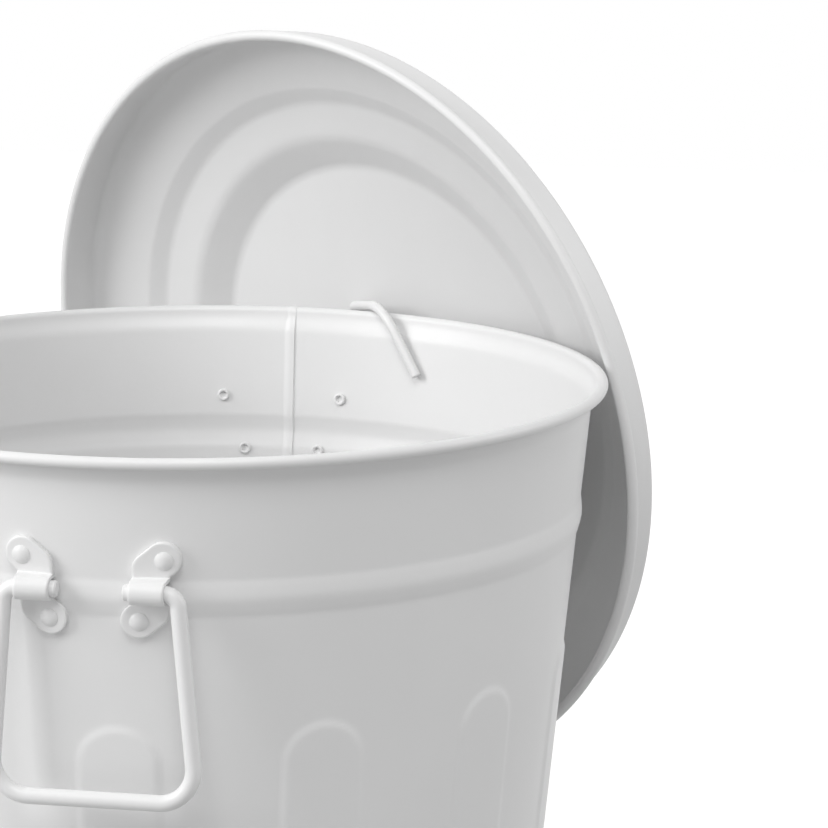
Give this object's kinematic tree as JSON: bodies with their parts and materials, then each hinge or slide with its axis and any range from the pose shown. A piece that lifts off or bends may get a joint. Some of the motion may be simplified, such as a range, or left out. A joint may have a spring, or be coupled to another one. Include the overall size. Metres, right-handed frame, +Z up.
{
  "type": "trash can with lid",
  "caption": "Tapered sheet-metal trash can with a curled rim, raised flutes and drop handles, and a stepped lid that hangs open on the rim by its wire hook.",
  "frame": {"origin": "centre of the circle that the can's foot stands on", "axes": "+Z up along the can's axis, +Y to the back handle, +X to the right seen from the front handle"},
  "size_m": [0.3293, 0.4037, 0.3723],
  "materials": {
    "white_coat": "smooth satin white coat over galvanized sheet",
    "coated_wire": "satin white coat over steel wire",
    "coated_rivet": "satin white coat over tubular rivets"
  },
  "bodies": {
    "can": {"can_wall": "white_coat", "can_rim_wire": "coated_wire", "bottom_pan": "white_coat", "front_ear_left": "white_coat", "front_ear_right": "white_coat", "front_ear_rivets": "coated_rivet", "back_ear_left": "white_coat", "back_ear_right": "white_coat", "back_ear_rivets": "coated_rivet"},
    "front_drop_handle": {"front_handle": "coated_wire"},
    "back_drop_handle": {"back_handle": "coated_wire"},
    "lid": {"lid_shell": "white_coat", "lid_rim_wire": "coated_wire", "lid_ear_left": "white_coat", "lid_ear_right": "white_coat", "lid_ear_rivets": "coated_rivet", "lid_hook": "coated_wire", "hook_clip": "white_coat", "hook_clip_rivets": "coated_rivet"},
    "lid_grip": {"lid_handle": "coated_wire"}
  },
  "joints": [
    {"name": "front_handle_swing", "type": "hinge", "parent": "can", "child": "front_drop_handle", "pos_m": [0, -0.15412, 0.201], "axis": [-1, 0, 0], "range_deg": [-5, 165]},
    {"name": "back_handle_swing", "type": "hinge", "parent": "can", "child": "back_drop_handle", "pos_m": [0, 0.15412, 0.201], "axis": [1, 0, 0], "range_deg": [-5, 28]},
    {"name": "lid_lift", "type": "slide", "parent": "can", "child": "lid", "axis": [0, 0, 1], "range_m": [0, 0.26]},
    {"name": "lid_handle_swing", "type": "hinge", "parent": "lid", "child": "lid_grip", "pos_m": [0.045, 0.17943, 0.21812], "axis": [0.6936, -0.5268, 0.4913], "range_deg": [0, 180]}
  ]
}
